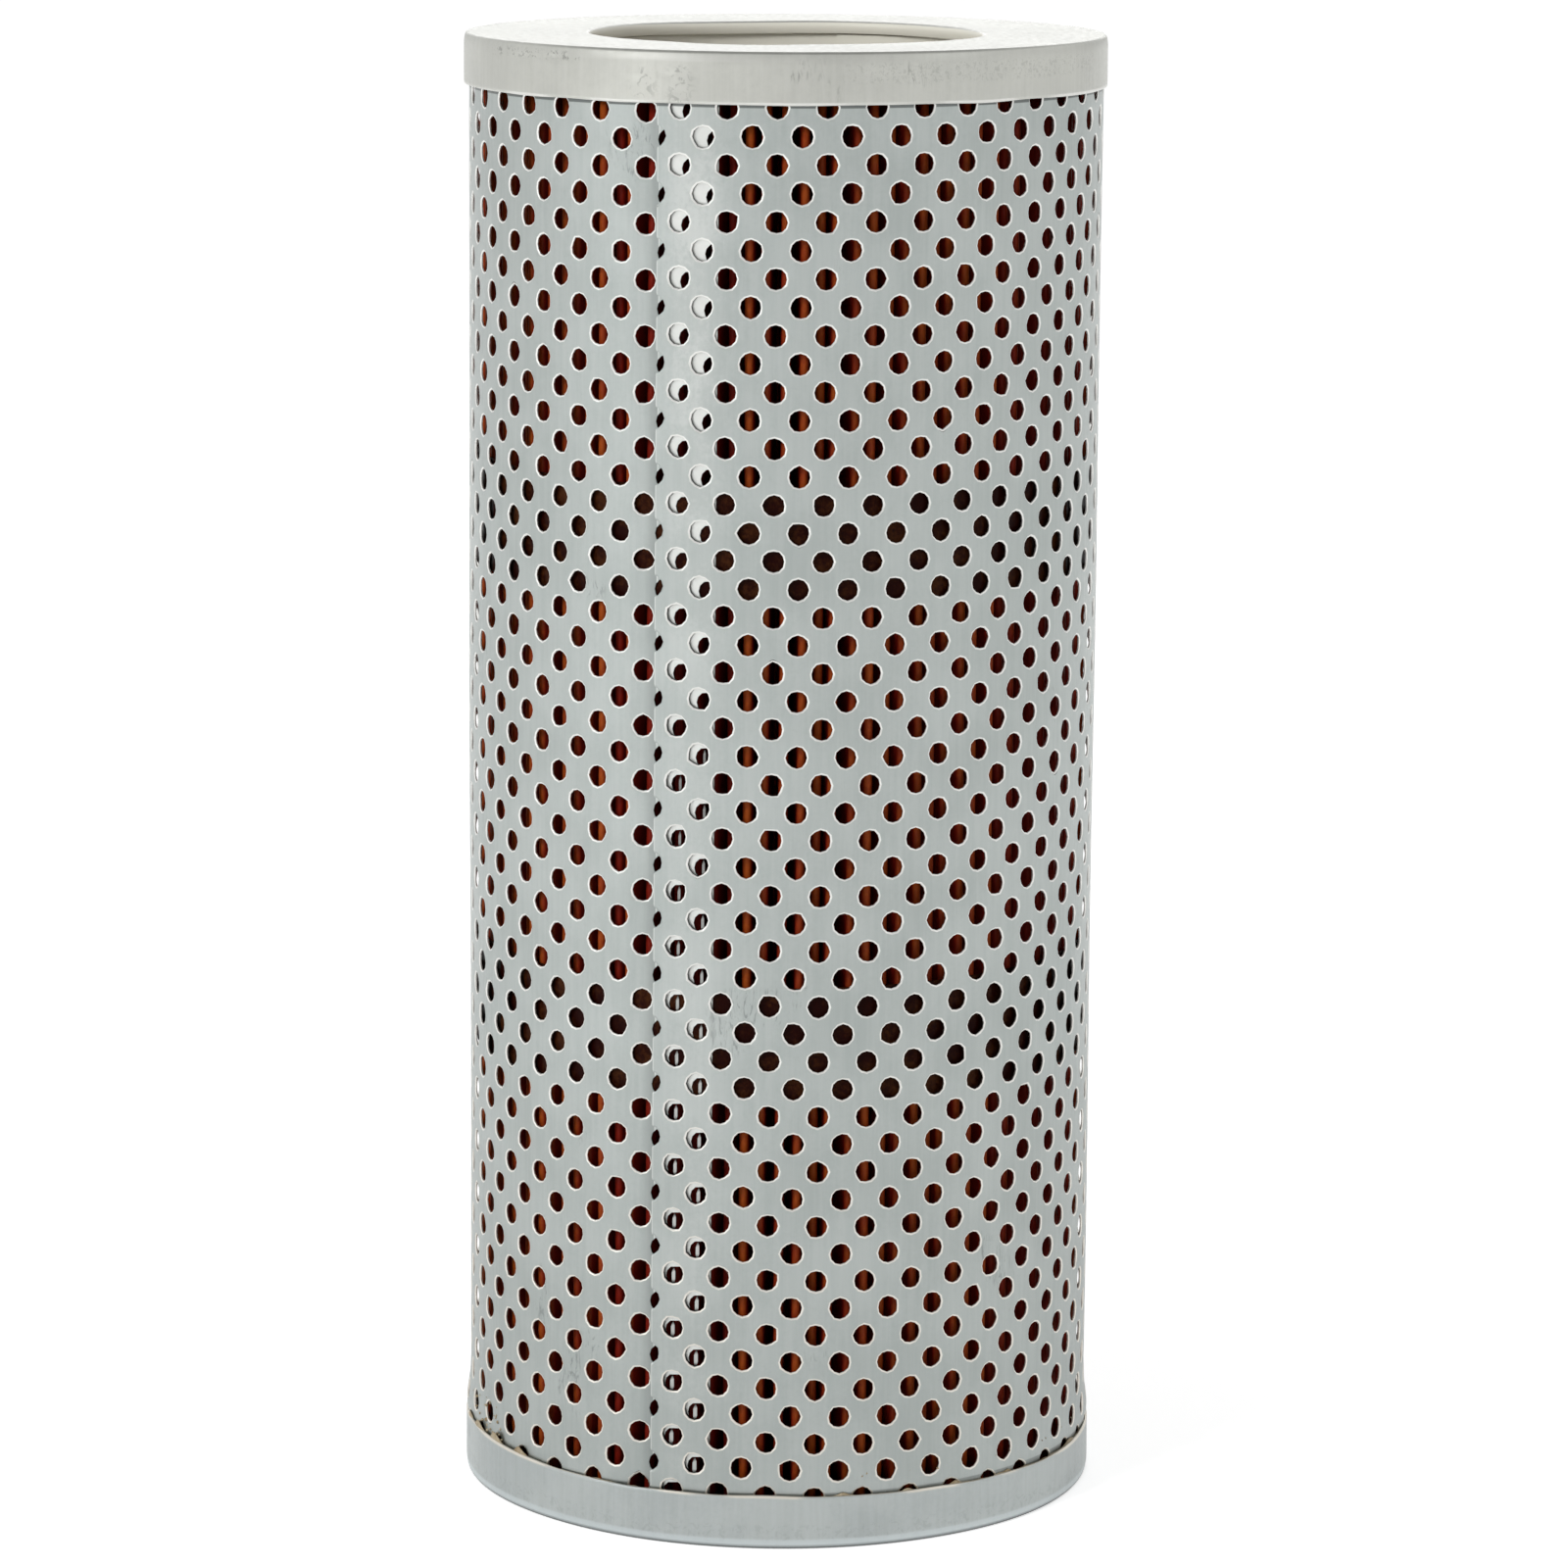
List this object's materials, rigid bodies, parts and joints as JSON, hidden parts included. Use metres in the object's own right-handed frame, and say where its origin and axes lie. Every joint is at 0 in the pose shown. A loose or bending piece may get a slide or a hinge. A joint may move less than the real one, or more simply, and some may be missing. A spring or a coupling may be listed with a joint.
{
  "type": "hydraulic filter element",
  "caption": "Cylindrical hydraulic filter element: perforated steel shell and centre tube around pleated paper, with a pressed steel cap and open bore at each end.",
  "frame": {"origin": "on the axis, at the lower end face on which the element stands", "axes": "+Z along the axis, from the lower end cap to the upper one; the outer shell's lap seam is 23 degrees from -Y towards -X"},
  "size_m": [0.13, 0.13, 0.298],
  "materials": {
    "cap_steel": "satin zinc plate, lightly scuffed",
    "shell_steel": "satin tinplate, punched",
    "tube_steel": "satin tinplate, punched",
    "filter_paper": "resin-treated paper, matt",
    "wrap_tape": "smooth varnished band",
    "adhesive": "cast adhesive, dull"
  },
  "bodies": {
    "root": {"top_end_cap": "cap_steel", "bottom_end_cap": "cap_steel", "outer_shell": "shell_steel", "centre_tube": "tube_steel", "pleated_paper": "filter_paper", "upper_wrap_band": "wrap_tape", "lower_wrap_band": "wrap_tape", "top_adhesive": "adhesive", "bottom_adhesive": "adhesive"}
  },
  "joints": []
}
